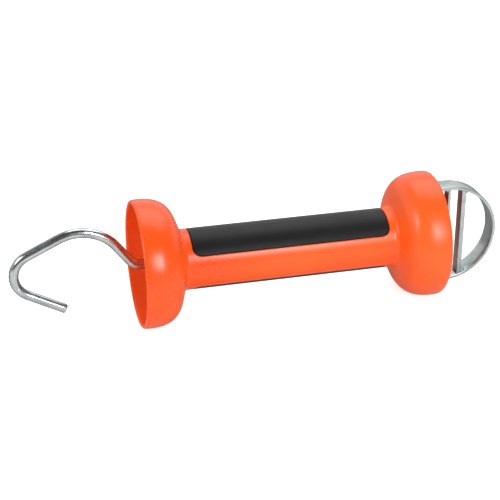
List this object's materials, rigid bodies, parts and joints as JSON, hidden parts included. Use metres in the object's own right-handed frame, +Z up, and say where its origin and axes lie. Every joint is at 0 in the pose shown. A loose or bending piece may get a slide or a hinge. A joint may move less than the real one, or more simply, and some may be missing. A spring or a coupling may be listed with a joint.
{
  "type": "electric fence gate handle",
  "caption": "Insulated fence gate handle: flared spool grip with soft pads, sprung swivelling wire hook at the front and a D-shaped tape buckle at the rear.",
  "frame": {"origin": "centre of the hand grip, on the handle's axis, midway between the rims of the two bells", "axes": "+X along the handle toward the tape buckle (the hook points to -X), +Z up in the plane of the hook with its mouth opening downward, Y across"},
  "size_m": [0.2373, 0.061, 0.061],
  "materials": {
    "orange_shell": "glossy moulded plastic",
    "orange_plug": "moulded plastic",
    "soft_grip": "soft satin rubber",
    "zinc_wire": "bright zinc plated",
    "zinc_strip": "bright zinc plated",
    "zinc_hardware": "zinc plated",
    "spring_steel": "plated spring steel",
    "bush_brass": "turned brass",
    "weld": "plated weld bead"
  },
  "bodies": {
    "handle": {"handle_body": "orange_shell", "grip_pad_upper": "soft_grip", "grip_pad_lower": "soft_grip", "front_bush": "bush_brass", "rear_plug": "orange_plug", "plug_screws": "zinc_hardware", "draw_yoke": "zinc_hardware", "yoke_crosshead": "zinc_hardware", "spring_seat": "zinc_hardware", "compression_spring": "spring_steel"},
    "carriage": {"pressure_washer": "zinc_hardware"},
    "hook": {"hook": "zinc_wire", "stop_collar": "zinc_hardware", "thrust_washer": "zinc_hardware", "hook_nut": "zinc_hardware", "lock_nut": "zinc_hardware"},
    "buckle": {"swivel_rivet": "zinc_hardware", "head_washer": "zinc_hardware", "outer_washer": "zinc_hardware", "spacer_sleeve": "zinc_hardware", "buckle_ring": "zinc_strip", "guide_bar": "zinc_strip", "tape_bar": "zinc_strip", "bar_welds": "weld"}
  },
  "joints": [
    {"name": "hook_slide", "type": "slide", "parent": "handle", "child": "carriage", "axis": [-1, 0, 0], "range_m": [0, 0.032], "stiffness_N_per_m": 2600, "springref_m": -0.01, "deforming": ["compression_spring"]},
    {"name": "hook_swivel", "type": "hinge", "parent": "carriage", "child": "hook", "pos_m": [0, 0, 0], "axis": [1, 0, 0], "continuous": true},
    {"name": "buckle_swivel", "type": "hinge", "parent": "handle", "child": "buckle", "pos_m": [0, 0, 0], "axis": [1, 0, 0], "continuous": true}
  ]
}
